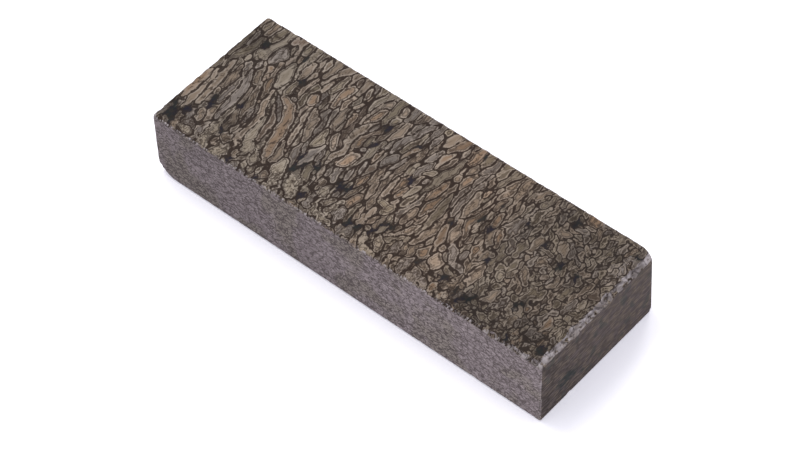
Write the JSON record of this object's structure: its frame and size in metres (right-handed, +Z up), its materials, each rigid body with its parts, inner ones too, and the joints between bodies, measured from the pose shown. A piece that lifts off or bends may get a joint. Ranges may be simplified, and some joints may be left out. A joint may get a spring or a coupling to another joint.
{
  "type": "dinosaur bone block",
  "caption": "Sawn rectangular block of fossil dinosaur bone with a polished top that shows the bone's cells, dull sawn sides and chipped edges.",
  "frame": {"origin": "middle of the underside's bounding rectangle, on the surface that the block lies on", "axes": "+X along the block's length, towards the end with the chipped top edge; -Y is the sawn front face; +Z up, out of the polished top"},
  "size_m": [0.12, 0.0419, 0.0198],
  "materials": {
    "fossil_bone": "polished on top, dull where sawn"
  },
  "bodies": {
    "root": {"bone_block": "fossil_bone"}
  },
  "joints": []
}
